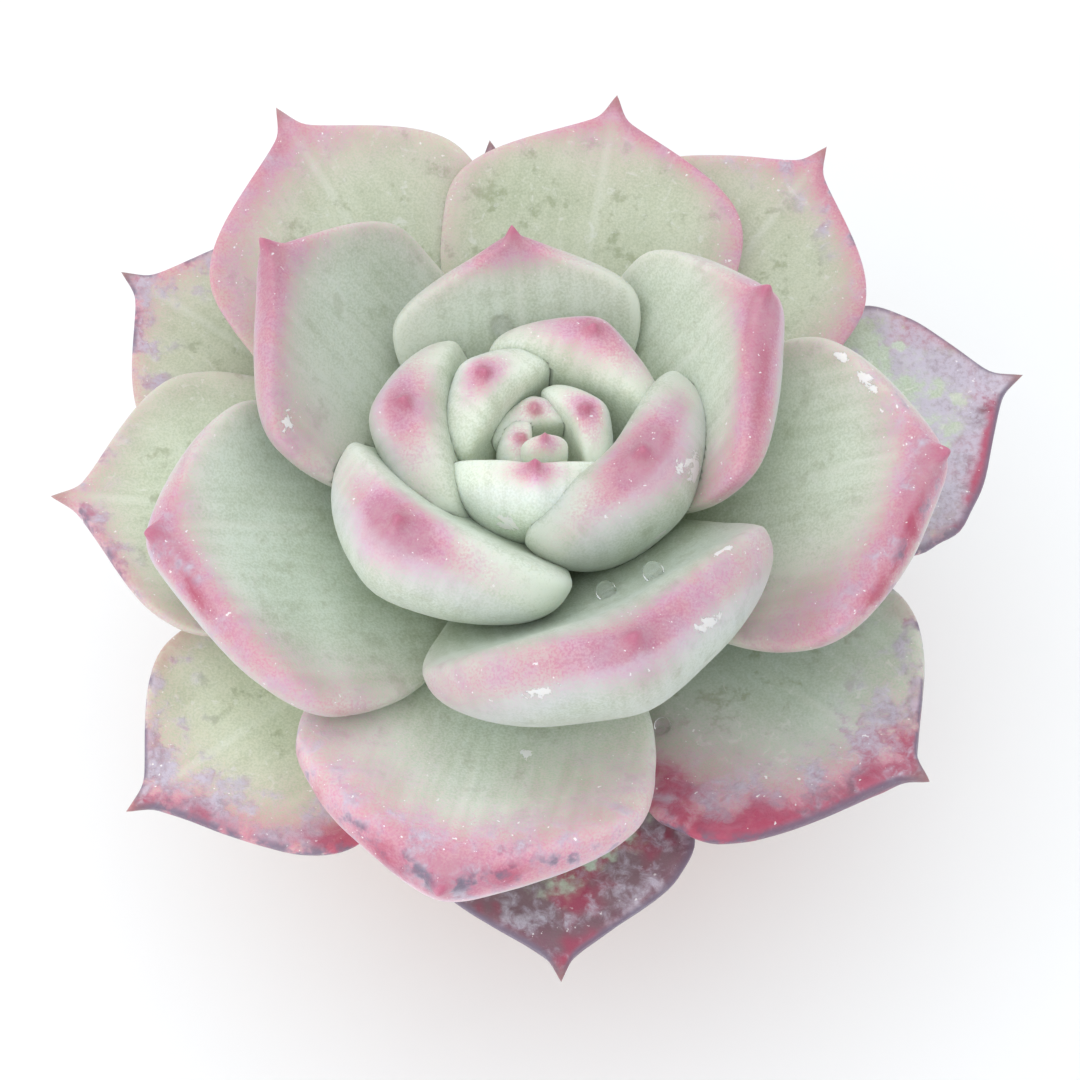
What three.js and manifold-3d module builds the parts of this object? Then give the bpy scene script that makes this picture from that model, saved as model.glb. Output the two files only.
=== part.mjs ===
// Rosette succulent growing in a small plain pot.
// Millimetres, +Z up. The origin is the centre of the flat face the pot stands on.
import * as THREE from "three";
import { mergeVertices } from "three/addons/utils/BufferGeometryUtils.js";
import Module from "manifold-3d";

// ---- Driving dimensions -------------------------------------------------------------------

const POT = {
  height: 53,
  rimRadius: 40,
  footRadius: 28,
  wall: 4,
  floor: 5,
  rimHeight: 11,
  rimStep: 2.5, // how far the rim stands out from the side
  edge: 1, // width of the bevels that break its edges
};
const DRAIN = { count: 3, radius: 3, ringRadius: 14, sides: 16 }; // holes through the floor of the pot
const SOIL = { level: 46, mound: 0.8, edgeDrop: 1, edgeWidth: 2 };
const CONTACT_GAP = 0.3; // clearance left wherever two living pieces press on each other

const CROWN_LEVEL = 57; // height of the lowest leaf's seat on the stem
const STEM = {
  footLevel: 31,
  footRadius: 6,
  footTaper: 0.6, // radius of the buried end, as a share of the foot's
  footRise: 4, // height over which it swells to the full foot
  neck: 3, // half the height over which it swells to the seats of the lowest leaves
  shoulderRadius: 6.5,
  waist: 1, // how much slimmer it is half way up the crown
  tipRadius: 1.2,
  tipRise: 1.5,
  bark: 1.2, // depth of stem round the leaves' seats
  height: 18, // from the lowest seat to the growing tip
};

// A leaf's outline and section, as shares of its own length, width and thickness.
const LEAF = {
  widest: 0.66, // where along the leaf it is widest
  baseWidth: 0.26,
  baseThickness: 0.6,
  shoulder: 2.7, // how square the shoulders are
  taper: 1.65, // above 1 the end draws out into a fine point
  bluntness: 6, // how late the thickness starts to fall towards the end
  endFall: 0.7, // how gently it falls there
  upperShare: 0.34, // share of the thickness above the middle surface
  edgeFullness: 0.8, // below 1 the margins are rounder than an ellipse
  pointLength: 0.03, // the hard little point, as a share of the width
  pointRadius: 0.012,
};
// The same where the end is a full hood: a thick round rim that bulges over the point.
const HOOD = { shoulder: 2.2, taper: 0.5, bluntness: 14, endFall: 0.5, from: 0.35, to: 0.9 };
const SIDES = 14;
const STATIONS = [0, 0.12, 0.27, 0.42, 0.56, 0.68, 0.78, 0.86, 0.92, 0.96, 0.985, 0.996, 1];

// One row for each leaf, from the oldest, lowest one up to the heart of the rosette.
// turn: degrees round from +X; rise: degrees above level; curl: degrees it bends up from base to tip;
// cup: how far its sides lift, as a share of its half width; roll: degrees about its own length;
// hood: 0 for a pointed leaf, 1 for one whose end is a full hood;
// bulge: share of the thickness above the middle surface near the end;
// skew: how much wider its left side is than its right, seen from the heart.
const LEAF_COLUMNS = [
  "name", "turn", "rise", "curl", "length", "width", "thick", "cup", "roll", "hood", "bulge", "skew",
];
const LEAVES = [
  ["outer_leaf_01", 272, 5, 10, 55.5, 36, 5, 0.15, 0, 0, 0.36, 0],
  ["outer_leaf_02", 16, 9, 10, 60.5, 38, 5, 0.15, 0, 0, 0.36, -0.08],
  ["outer_leaf_03", 149, 8, 10, 61, 38, 5, 0.15, 0, 0, 0.36, 0],
  ["outer_leaf_04", 97.5, 8, 10, 51, 34, 5, 0.15, 0, 0, 0.36, 0],
  ["outer_leaf_05", 219.5, 6, 14, 60, 38, 5.5, 0.15, 0, 0, 0.36, 0.15],
  ["outer_leaf_06", 182.5, 13, 14, 57.5, 40, 5.5, 0.15, 6, 0, 0.36, 0],
  ["outer_leaf_07", 319.5, 10, 20, 56, 43, 6, 0.15, 0, 0.2, 0.4, -0.12],
  ["outer_leaf_08", 51.5, 15, 14, 57.5, 38, 5.5, 0.15, 0, 0, 0.36, 0],
  ["outer_leaf_09", 124.5, 17, 14, 60, 41, 5.5, 0.15, 0, 0, 0.36, 0.08],
  ["outer_leaf_10", 79.5, 19, 16, 52, 41, 5.5, 0.15, 0, 0.1, 0.36, 0],
  ["middle_leaf_01", 258, 17, 44, 56, 44, 10.5, 0.22, 0, 0.7, 0.5, 0],
  ["middle_leaf_02", 197, 27, 40, 50.5, 43, 11, 0.3, -4, 0.8, 0.5, 0.2],
  ["middle_leaf_03", 355.5, 27, 40, 50.5, 41, 10.5, 0.3, 8, 0.75, 0.48, -0.12],
  ["middle_leaf_04", 147, 37, 30, 46.5, 38, 8.5, 0.25, 14, 0.25, 0.42, 0.2],
  ["middle_leaf_05", 29, 46, 40, 39.5, 37, 9.5, 0.3, -14, 0.45, 0.45, -0.15],
  ["middle_leaf_06", 287, 46, 74, 47.5, 45, 12.5, 0.25, 8, 0.95, 0.48, 0],
  ["inner_leaf_01", 98.5, 46, 34, 32.5, 32, 6.5, 0.25, 0, 0.15, 0.45, 0.06],
  ["inner_leaf_02", 223, 52, 60, 33.5, 34, 12.5, 0.25, 10, 0.6, 0.38, 0.12],
  ["inner_leaf_03", 334, 66, 54, 25.5, 31, 12, 0.25, -12, 0.85, 0.45, 0],
  ["inner_leaf_04", 173, 55, 64, 26, 25, 10, 0.3, 8, 0.65, 0.5, 0],
  ["inner_leaf_05", 65, 56, 62, 22.5, 24, 8, 0.3, 0, 0.8, 0.6, 0],
  ["heart_leaf_01", 138, 68, 62, 20.5, 18, 8, 0.3, 4, 0.7, 0.55, 0],
  ["heart_leaf_02", 262, 76, 60, 20.5, 21, 8.5, 0.3, 8, 0.15, 0.35, 0],
  ["heart_leaf_03", 28, 75, 48, 15.5, 14, 5.5, 0.3, 0, 0.5, 0.5, 0],
  ["heart_leaf_04", 104, 78, 46, 12, 12, 4.5, 0.3, 0, 0.5, 0.5, 0],
  ["heart_leaf_05", 190, 84, 40, 12, 9, 4.5, 0.3, 0, 0.4, 0.5, 0],
  ["heart_leaf_06", 275, 85, 20, 15.5, 6, 3.5, 0.2, 0, 0, 0.5, 0],
].map((row) => Object.fromEntries(LEAF_COLUMNS.map((column, i) => [column, row[i]])));

// ---- Colours ------------------------------------------------------------------------------

const MATERIALS = {
  leaf: new THREE.MeshStandardMaterial({ color: 0xb9d0b4, roughness: 0.55, metalness: 0 }),
  stem: new THREE.MeshStandardMaterial({ color: 0x8a7f5e, roughness: 0.8, metalness: 0 }),
  soil: new THREE.MeshStandardMaterial({ color: 0x3b2f26, roughness: 0.95, metalness: 0 }),
  pot: new THREE.MeshStandardMaterial({ color: 0xb86b48, roughness: 0.8, metalness: 0 }),
};

// ---- Booleans -----------------------------------------------------------------------------

const wasm = await Module();
wasm.setup();

function solidOf(geometry) {
  const bare = geometry.clone();
  for (const attribute of ["normal", "uv"]) bare.deleteAttribute(attribute);
  const merged = mergeVertices(bare, 1e-4);
  return new wasm.Manifold(
    new wasm.Mesh({
      numProp: 3,
      vertProperties: merged.attributes.position.array,
      triVerts: new Uint32Array(merged.index.array),
    }),
  );
}

function geometryOf(solid) {
  const mesh = solid.getMesh();
  return new THREE.BufferGeometry()
    .setAttribute("position", new THREE.BufferAttribute(mesh.vertProperties, 3))
    .setIndex(new THREE.BufferAttribute(mesh.triVerts, 1));
}

const { lerp, smoothstep } = THREE.MathUtils;
const largestBody = (solid) => solid.decompose().sort((a, b) => b.volume() - a.volume())[0];

// ---- Leaf ---------------------------------------------------------------------------------

// Half width at a share s of the length, as a share of the greatest half width.
function outline(s, hood) {
  if (s < LEAF.widest) {
    const swell = Math.sin((Math.PI / 2) * (s / LEAF.widest));
    return LEAF.baseWidth + (1 - LEAF.baseWidth) * swell;
  }
  const u = (s - LEAF.widest) / (1 - LEAF.widest);
  const shoulder = lerp(LEAF.shoulder, HOOD.shoulder, hood);
  const taper = lerp(LEAF.taper, HOOD.taper, hood);
  return Math.pow(1 - Math.pow(u, shoulder), taper);
}

// Thickness at a share s of the length, as a share of the greatest thickness.
function thicknessAt(s, hood) {
  const swell = LEAF.baseThickness + (1 - LEAF.baseThickness) * Math.sin(Math.PI * Math.min(s, 0.5));
  const end = Math.pow(s, lerp(LEAF.bluntness, HOOD.bluntness, hood));
  return swell * Math.pow(1 - end, lerp(LEAF.endFall, HOOD.endFall, hood));
}

// Share of the thickness above the middle surface; a leaf may bulge over its point.
const upperShare = (s, bulge) => lerp(LEAF.upperShare, bulge, smoothstep(s, HOOD.from, HOOD.to));

// Where on the stem the leaf in this row of the list is seated.
function seatOf(row) {
  const share = row / (LEAVES.length - 1);
  const radius = lerp(STEM.shoulderRadius, STEM.tipRadius, Math.pow(share, 1.5));
  return { radius, level: CROWN_LEVEL + share * STEM.height };
}

// A point on the leaf's middle line, with the directions along it and out of its upper face.
function middleLine(leaf, seat, s) {
  const bend = THREE.MathUtils.degToRad(leaf.curl);
  const start = THREE.MathUtils.degToRad(leaf.rise) - bend / 2;
  const angle = start + bend * s;
  const out = (leaf.length / bend) * (Math.sin(angle) - Math.sin(start));
  const up = (leaf.length / bend) * (Math.cos(start) - Math.cos(angle));
  return { out: seat.radius + out, up: seat.level + up, angle };
}

function leafGeometry(leaf, seat, grow = 0) {
  const geometry = new THREE.SphereGeometry(1, SIDES, STATIONS.length - 1);
  const { position, uv } = geometry.attributes;
  const turn = THREE.MathUtils.degToRad(leaf.turn);
  const radial = new THREE.Vector3(Math.cos(turn), Math.sin(turn), 0);
  const across = new THREE.Vector3(-Math.sin(turn), Math.cos(turn), 0);
  const point = new THREE.Vector3();
  for (let i = 0; i < position.count; i++) {
    const ring = Math.round((1 - uv.getY(i)) * (STATIONS.length - 1));
    const s = STATIONS[ring];
    const around = (-2 * Math.PI * Math.round(uv.getX(i) * SIDES)) / SIDES;
    const end = ring === 0 || ring === STATIONS.length - 1;
    const blade = Math.hypot(outline(s, leaf.hood) / 2, LEAF.pointRadius);
    const half = end ? 0 : leaf.width * blade + grow;
    const thick = end ? 0 : leaf.thick * thicknessAt(s, leaf.hood) + 2 * grow;
    const c = Math.cos(around);
    const n = Math.sin(around);
    const above = upperShare(s, leaf.bulge);
    const share = n > 0 ? above : 1 - above;
    const section = Math.sign(n) * Math.pow(Math.abs(n), LEAF.edgeFullness) * share * thick;
    const lift = leaf.cup * c * c * half;
    const line = middleLine(leaf, seat, s);
    const tipShift = LEAF.pointLength * leaf.width + grow;
    const endShift = end ? (ring === 0 ? -grow : tipShift) : 0;
    const tangent = radial.clone().multiplyScalar(Math.cos(line.angle)).setZ(Math.sin(line.angle));
    const normal = radial.clone().multiplyScalar(-Math.sin(line.angle)).setZ(Math.cos(line.angle));
    const side = across.clone().applyAxisAngle(tangent, THREE.MathUtils.degToRad(leaf.roll));
    normal.applyAxisAngle(tangent, THREE.MathUtils.degToRad(leaf.roll));
    point.copy(radial).multiplyScalar(line.out).setZ(line.up);
    point.addScaledVector(tangent, endShift);
    point.addScaledVector(side, half * c * (1 + leaf.skew * c));
    point.addScaledVector(normal, section + lift);
    position.setXYZ(i, point.x, point.y, point.z);
  }
  return geometry;
}

// ---- Stem, soil and pot -------------------------------------------------------------------

const ROUND = 36; // sides of the turned pieces

// Turns a profile of [radius, height] points about the Z axis.
function lathe(profile) {
  const points = profile.map(([radius, height]) => new THREE.Vector2(radius, height));
  return new THREE.LatheGeometry(points, ROUND).rotateX(Math.PI / 2);
}

// The short stem, buried foot to growing tip; grown by the clearance when it cuts its neighbours.
function stemGeometry(grow = 0) {
  const top = CROWN_LEVEL + STEM.height;
  const shoulder = STEM.shoulderRadius + STEM.bark;
  return lathe([
    [0, STEM.footLevel - grow],
    [STEM.footRadius * STEM.footTaper + grow, STEM.footLevel - grow],
    [STEM.footRadius + grow, STEM.footLevel + STEM.footRise],
    [STEM.footRadius + grow, CROWN_LEVEL - STEM.neck],
    [shoulder + grow, CROWN_LEVEL + STEM.neck],
    [shoulder - STEM.waist + grow, CROWN_LEVEL + STEM.height / 2],
    [STEM.tipRadius + STEM.bark + grow, top - STEM.tipRise],
    [0, top + grow],
  ]);
}

// Radius of the pot's tapered outside at a level.
const sideRadius = (level) => lerp(POT.footRadius, POT.rimRadius - POT.rimStep, level / POT.height);

function soilGeometry() {
  const inside = (level) => sideRadius(level) - POT.wall - CONTACT_GAP;
  return lathe([
    [0, POT.floor + CONTACT_GAP],
    [inside(POT.floor), POT.floor + CONTACT_GAP],
    [inside(SOIL.level - SOIL.edgeDrop), SOIL.level - SOIL.edgeDrop],
    [inside(SOIL.level) - SOIL.edgeWidth, SOIL.level],
    [0, SOIL.level + SOIL.mound],
  ]);
}

function potGeometry() {
  const rimFoot = POT.height - POT.rimHeight;
  const body = lathe([
    [0, 0],
    [POT.footRadius - POT.edge, 0],
    [POT.footRadius, POT.edge],
    [sideRadius(rimFoot), rimFoot],
    [POT.rimRadius - POT.edge, rimFoot],
    [POT.rimRadius, rimFoot + POT.edge],
    [POT.rimRadius, POT.height - POT.edge],
    [POT.rimRadius - POT.edge, POT.height],
    [sideRadius(POT.height) - POT.wall + POT.edge, POT.height],
    [sideRadius(POT.height - POT.edge) - POT.wall, POT.height - POT.edge],
    [sideRadius(POT.floor) - POT.wall, POT.floor],
    [0, POT.floor],
  ]);
  const bore = new THREE.CylinderGeometry(DRAIN.radius, DRAIN.radius, 3 * POT.floor, DRAIN.sides);
  bore.rotateX(Math.PI / 2);
  let solid = solidOf(body);
  for (let i = 0; i < DRAIN.count; i++) {
    const angle = (2 * Math.PI * (i + 0.5)) / DRAIN.count;
    const x = DRAIN.ringRadius * Math.cos(angle);
    const y = DRAIN.ringRadius * Math.sin(angle);
    solid = solid.subtract(solidOf(bore.clone().translate(x, y, 0)));
  }
  return geometryOf(solid);
}

// ---- Assembly -----------------------------------------------------------------------------

const plant = new THREE.Group();

function add(name, geometry, material) {
  const mesh = new THREE.Mesh(geometry, material);
  mesh.name = name;
  plant.add(mesh);
}

// A younger leaf presses into every older one that it meets, and the stem into them all.
const stemClearance = solidOf(stemGeometry(CONTACT_GAP));
const leafClearances = LEAVES.map((leaf, row) => solidOf(leafGeometry(leaf, seatOf(row), CONTACT_GAP)));

function pressedLeaf(leaf, row) {
  let solid = solidOf(leafGeometry(leaf, seatOf(row))).subtract(stemClearance);
  for (const younger of leafClearances.slice(row + 1)) solid = solid.subtract(younger);
  return geometryOf(largestBody(solid));
}

add("pot", potGeometry(), MATERIALS.pot);
add("soil", geometryOf(solidOf(soilGeometry()).subtract(stemClearance)), MATERIALS.soil);
add("stem", stemGeometry(), MATERIALS.stem);
LEAVES.forEach((leaf, row) => add(leaf.name, pressedLeaf(leaf, row), MATERIALS.leaf));

export default plant;
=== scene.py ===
import random
from collections import namedtuple
from math import atan2, copysign, cos, exp, hypot, pi, radians, sin, sqrt

import bmesh
import bpy
from bpy.props import FloatProperty, FloatVectorProperty, IntProperty, PointerProperty
from mathutils import Matrix, Vector, noise


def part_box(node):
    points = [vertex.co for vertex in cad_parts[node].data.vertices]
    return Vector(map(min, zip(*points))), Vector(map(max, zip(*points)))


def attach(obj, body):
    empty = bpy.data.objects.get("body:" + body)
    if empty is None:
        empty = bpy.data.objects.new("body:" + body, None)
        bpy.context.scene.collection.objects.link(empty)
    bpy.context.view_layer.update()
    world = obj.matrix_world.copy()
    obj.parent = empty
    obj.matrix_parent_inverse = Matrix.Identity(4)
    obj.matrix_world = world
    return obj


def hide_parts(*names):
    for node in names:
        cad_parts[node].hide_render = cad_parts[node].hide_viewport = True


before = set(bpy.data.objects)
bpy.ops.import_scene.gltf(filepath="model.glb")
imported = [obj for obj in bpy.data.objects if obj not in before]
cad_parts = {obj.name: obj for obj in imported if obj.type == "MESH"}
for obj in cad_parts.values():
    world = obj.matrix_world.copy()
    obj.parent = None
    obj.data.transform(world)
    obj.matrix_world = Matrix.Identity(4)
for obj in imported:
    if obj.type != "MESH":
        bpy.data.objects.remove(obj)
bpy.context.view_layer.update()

bl_info = {
    "name": "Potted Rosette Succulent",
    "version": (1, 0, 0),
    "blender": (4, 5, 0),
    "location": "3D View > Sidebar > Succulent",
    "description": "Builds a rosette succulent leaf by leaf, with its stem, soil and clay pot",
    "category": "Add Mesh",
}

BODY = "root"
MM = 0.001

# ---- What the frame gives -------------------------------------------------------------------

POT_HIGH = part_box("pot")[1]
SOIL_LOW, SOIL_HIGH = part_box("soil")
STEM_LOW, STEM_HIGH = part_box("stem")

# ---- The leaves -----------------------------------------------------------------------------

# One row for each leaf, from the oldest up to the heart.
# turn: degrees round from +X; rise: degrees above level; curl: degrees it bends up from base to tip;
# length, width and thick in mm; cup: how far the sides lift; roll: degrees about its own length;
# hood: 0 for a pointed leaf, 1 for one whose end is a full hood;
# bulge: share of the thickness above the middle surface near the end;
# skew: how much wider its left side is.
Leaf = namedtuple("Leaf", "name turn rise curl length width thick cup roll hood bulge skew")

LEAVES = [
    Leaf("outer_leaf_01", 272, 5, 10, 55.5, 36, 5, 0.15, 0, 0, 0.36, 0),
    Leaf("outer_leaf_02", 16, 9, 10, 60.5, 38, 5, 0.15, 0, 0, 0.36, -0.08),
    Leaf("outer_leaf_03", 149, 8, 10, 61, 38, 5, 0.15, 0, 0, 0.36, 0),
    Leaf("outer_leaf_04", 97.5, 8, 10, 51, 34, 5, 0.15, 0, 0, 0.36, 0),
    Leaf("outer_leaf_05", 219.5, 6, 14, 60, 38, 5.5, 0.15, 0, 0, 0.36, 0.15),
    Leaf("outer_leaf_06", 182.5, 13, 14, 57.5, 40, 5.5, 0.15, 6, 0, 0.36, 0),
    Leaf("outer_leaf_07", 319.5, 10, 20, 56, 43, 6, 0.15, 0, 0.2, 0.4, -0.12),
    Leaf("outer_leaf_08", 51.5, 15, 14, 57.5, 38, 5.5, 0.15, 0, 0, 0.36, 0),
    Leaf("outer_leaf_09", 124.5, 17, 14, 60, 41, 5.5, 0.15, 0, 0, 0.36, 0.08),
    Leaf("outer_leaf_10", 79.5, 19, 16, 52, 41, 5.5, 0.15, 0, 0.1, 0.36, 0),
    Leaf("middle_leaf_01", 258, 17, 44, 56, 44, 10.5, 0.22, 0, 0.7, 0.5, 0),
    Leaf("middle_leaf_02", 197, 27, 40, 50.5, 43, 11, 0.3, -4, 0.8, 0.5, 0.2),
    Leaf("middle_leaf_03", 355.5, 27, 40, 50.5, 41, 10.5, 0.3, 8, 0.75, 0.48, -0.12),
    Leaf("middle_leaf_04", 147, 37, 30, 46.5, 38, 8.5, 0.25, 14, 0.25, 0.42, 0.2),
    Leaf("middle_leaf_05", 29, 46, 40, 39.5, 37, 9.5, 0.3, -14, 0.45, 0.45, -0.15),
    Leaf("middle_leaf_06", 287, 46, 74, 47.5, 45, 12.5, 0.25, 8, 0.95, 0.48, 0),
    Leaf("inner_leaf_01", 98.5, 46, 34, 32.5, 32, 6.5, 0.25, 0, 0.15, 0.45, 0.06),
    Leaf("inner_leaf_02", 223, 52, 60, 33.5, 34, 12.5, 0.25, 10, 0.6, 0.38, 0.12),
    Leaf("inner_leaf_03", 334, 66, 54, 25.5, 31, 12, 0.25, -12, 0.85, 0.45, 0),
    Leaf("inner_leaf_04", 173, 55, 64, 26, 25, 10, 0.3, 8, 0.65, 0.5, 0),
    Leaf("inner_leaf_05", 65, 56, 62, 22.5, 24, 8, 0.3, 0, 0.8, 0.6, 0),
    Leaf("heart_leaf_01", 138, 68, 62, 20.5, 18, 8, 0.3, 4, 0.7, 0.55, 0),
    Leaf("heart_leaf_02", 262, 76, 60, 20.5, 21, 8.5, 0.3, 8, 0.15, 0.35, 0),
    Leaf("heart_leaf_03", 28, 75, 48, 15.5, 14, 5.5, 0.3, 0, 0.5, 0.5, 0),
    Leaf("heart_leaf_04", 104, 78, 46, 12, 12, 4.5, 0.3, 0, 0.5, 0.5, 0),
    Leaf("heart_leaf_05", 190, 84, 40, 12, 9, 4.5, 0.3, 0, 0.4, 0.5, 0),
    Leaf("heart_leaf_06", 275, 85, 20, 15.5, 6, 3.5, 0.2, 0, 0, 0.5, 0),
]

# How each leaf is coloured.
# blush: strength of the pink; lean: which side is pinker and more worn, 1 for left and -1 for right;
# wear: how weathered it is; tone: 0 for a yellowish wax, 1 for a bluish one;
# frost: how white the worn parts are;
# spread: how far the pink comes in over the upper face, 1 being usual;
# red: strength of the crimson in it; inset: mm that the pink line is moved up over the margin;
# pale: how much paler than usual it is, or darker below 0; partly the wax's own tone and partly painted
# light and shade, making up for how brightly each leaf is lit.
Skin = namedtuple("Skin", "blush lean wear tone frost spread red inset pale")

SKINS = {
    "outer_leaf_01": Skin(0.8, 0, 1.9, 0.7, 0.1, 1, 0.6, 0, 0),
    "outer_leaf_02": Skin(0.7, -0.5, 1.0, 0.6, 1.1, 1, 1.3, 0, 0.15),
    "outer_leaf_03": Skin(0.8, 0, 0.35, 0.1, 0.6, 1, 0.4, 0, 0),
    "outer_leaf_04": Skin(0.7, 0, 0.5, 0.3, 0.5, 1, 0, 0, 0),
    "outer_leaf_05": Skin(0.9, 0.45, 0.5, 0.15, 0.5, 1.7, 1.2, 0, 0.22),
    "outer_leaf_06": Skin(0.55, 0.2, 0.2, 0.3, 0.2, 1.4, 0.5, 0, 0.18),
    "outer_leaf_07": Skin(1.0, -0.6, 0.7, 0.8, 0.4, 2.8, 1.6, 0, -0.12),
    "outer_leaf_08": Skin(1.1, -0.3, 0.25, 0.15, 0.3, 0.9, 0.4, 0, 0),
    "outer_leaf_09": Skin(0.95, 0.35, 0.12, 0.2, 0.3, 1.8, 0.25, 0, 0),
    "outer_leaf_10": Skin(1.15, -0.3, 0.12, 0.15, 0.4, 0.8, 0.35, 0, 0),
    "middle_leaf_01": Skin(1.4, 0, 0.3, 0.9, 0.3, 4, 1.0, 0, 0.26),
    "middle_leaf_02": Skin(1.2, 0.4, 0.15, 0.75, 0.3, 1.2, 0.8, 1.6, 0),
    "middle_leaf_03": Skin(1.4, -0.5, 0.2, 0.4, 0.3, 1.7, 0.9, 2.4, 0),
    "middle_leaf_04": Skin(1.15, 0.4, 0.05, 0.5, 0.3, 1.5, 0.1, 0.9, -0.18),
    "middle_leaf_05": Skin(1.3, -0.7, 0.05, 0.45, 0.3, 1.2, 0.45, 1, 0),
    "middle_leaf_06": Skin(1.2, 0, 0.1, 0.9, 0.3, 1.3, 0.25, 0, -0.1),
    "inner_leaf_01": Skin(1.0, 0.2, 0.0, 0.4, 0.3, 1.5, 0, 1.8, -0.12),
    "inner_leaf_02": Skin(1.5, 0.0, 0.05, 0.75, 0.3, 1, 0, 0, 0.06),
    "inner_leaf_03": Skin(1.5, 0.0, 0.05, 0.7, 0.3, 1, 0, 0, -0.08),
    "inner_leaf_04": Skin(0.9, 0.0, 0.0, 0.4, 0.3, 1, 0, 0, 0),
    "inner_leaf_05": Skin(0.9, 0.0, 0.0, 0.35, 0.3, 1, 0, 0, 0.08),
    "heart_leaf_01": Skin(0.9, 0.0, 0.0, 0.35, 0.3, 1, 0, 0, 0.1),
    "heart_leaf_02": Skin(0.9, 0.0, 0.0, 0.4, 0.3, 1, 0, 0, 0.2),
    "heart_leaf_03": Skin(0.9, 0.0, 0.0, 0.3, 0.3, 1, 0, 0, 0.15),
    "heart_leaf_04": Skin(0.45, 0.0, 0.0, 0.3, 0.3, 1, 0, 0, 0.2),
    "heart_leaf_05": Skin(0.45, 0.0, 0.0, 0.25, 0.3, 1, 0, 0, 0.2),
    "heart_leaf_06": Skin(0.6, 0.0, 0.0, 0.2, 0.3, 1, 0, 0, 0.15),
}

# Where the pink lies, in mm: how far below the margin it is pinkest, how far it spreads above and below
# that line, how far it runs back from the tip, the radius of the spot round the point, how wide the
# crimson in it is, and how strong the spot is.
Pink = namedtuple("Pink", "line above below reach spot core tip")

PINKS = {
    "outer": Pink(0.0, 4.5, 4.0, 60, 9.0, 2.6, 0.55),
    "middle": Pink(0.6, 3.2, 3.4, 34, 6.0, 1.1, 0.6),
    "inner": Pink(1.2, 1.6, 4.0, 11, 4.6, 1.1, 1.0),
    "heart": Pink(0.7, 1.2, 2.4, 4.6, 2.4, 1.1, 0.95),
}

# Glossy white flakes and scrapes: the leaf, its side (1 upper, -1 under), the place across it as a share of
# half its width and along it as a share of its length, and the radius in mm.
Scar = namedtuple("Scar", "leaf side across along size")
SCARS = [
    Scar("middle_leaf_06", -1, -0.86, 0.93, 1.2),
    Scar("middle_leaf_06", -1, 0.80, 0.95, 1.1),
    Scar("middle_leaf_06", 1, 0.9, 0.9, 1.3),
    Scar("middle_leaf_03", 1, 0.78, 0.88, 1.7),
    Scar("middle_leaf_03", 1, 0.87, 0.82, 1.4),
    Scar("middle_leaf_04", 1, 0.9, 0.72, 1.7),
    Scar("inner_leaf_03", -1, 0.35, 0.9, 2.2),
    Scar("inner_leaf_03", -1, -0.25, 0.7, 1.5),
    Scar("heart_leaf_02", -1, -0.35, 0.72, 1.8),
    Scar("middle_leaf_01", 1, 0.25, 0.62, 1.6),
    Scar("outer_leaf_08", 1, 0.3, 0.72, 1.6),
]

# Water drops: the leaf that each lies on, the share along it, degrees round its section from its left
# side, and the drop's radius in mm.
Drop = namedtuple("Drop", "leaf along around radius")
DROPS = [
    Drop("inner_leaf_01", 0.63, 80, 1.35),
    Drop("inner_leaf_05", 0.62, 60, 1.2),
    Drop("middle_leaf_06", 0.50, 84, 1.3),
    Drop("middle_leaf_06", 0.56, 68, 1.35),
    Drop("outer_leaf_07", 0.48, 132, 1.1),
]

CROWN_LEVEL = 57.0  # mm above the base, the seat of the lowest leaf
CROWN_HEIGHT = 18.0  # mm from there to the seat of the topmost leaf
SEAT_RADII = (6.5, 1.2)  # mm from the stem's axis, lowest and topmost leaf
CONTACT_GAP = -0.15  # mm between a leaf and an older one that it presses on; below 0 they overlap

# How uneven a living leaf is: a strength, and the mm over which it changes. A rough one counts only as far
# as the leaf is weathered.
WAVER, WAVER_LENGTH = 0.03, 16  # its width, as a share
ROUGH_WAVER, ROUGH_WAVER_LENGTH = 0.035, 4
SWELL, SWELL_LENGTH = 0.24, 9.0  # its faces, in mm
ROUGH_SWELL, ROUGH_SWELLS_PER_SWELL = 0.3, 3.1
WAVE, WAVE_LENGTH = 0.5, 9  # its margins up and down, in mm
CRUMPLE, CRUMPLE_LENGTH = 0.6, 3.5
KEEL = 0.8  # mm, under the tip of a leaf 30 mm wide
GROOVE = 0.35  # mm, above the same tip
KEELED_WIDTH = 30.0

# How finely the smaller leaves are meshed, against the full-grown ones.
FINENESS = {"heart": 0.55, "inner": 0.8, "middle": 1.0, "outer": 1.0}

# Grit on the soil: name, the two colours that it varies between, and the number of grains.
Grit = namedtuple("Grit", "name dark pale count")
GRITS = [
    Grit("pumice_grit", (0.50, 0.46, 0.40), (0.74, 0.71, 0.66), 150),
    Grit("lava_grit", (0.10, 0.045, 0.035), (0.20, 0.10, 0.08), 130),
    Grit("bark_grit", (0.10, 0.06, 0.035), (0.22, 0.14, 0.08), 90),
]
GRIT_SEED = 41
SOIL_CRUMBS = 0.0012  # metres left for crumbs and grit under the top of the soil's box

# Lamps: name, place in metres, width in metres and power in watts.
Lamp = namedtuple("Lamp", "name place size power")
LAMPS = [
    Lamp("key", (-0.12, 0.15, 0.9), 1.0, 2.7),
    Lamp("fill", (-0.55, -0.55, 0.5), 0.9, 2.0),
]
LAMP_TARGET = Vector((0, 0, 0.075))
SKY_COLOUR = (0.93, 0.97, 1.0, 1.0)
SKY_STRENGTH = 0.92
HEART = Vector((0, 0, 0.087))  # the growing point, which the camera's distance is counted from
CAMERA_ASIDE = 0.00038  # metres that the camera sits left of the heart
CAMERA_BELOW = 0.01370  # metres that it sits below the heart, square to the way it looks


def colour(name, description, default):
    """A colour setting."""
    return FloatVectorProperty(name=name, description=description, default=default, subtype="COLOR")


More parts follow.
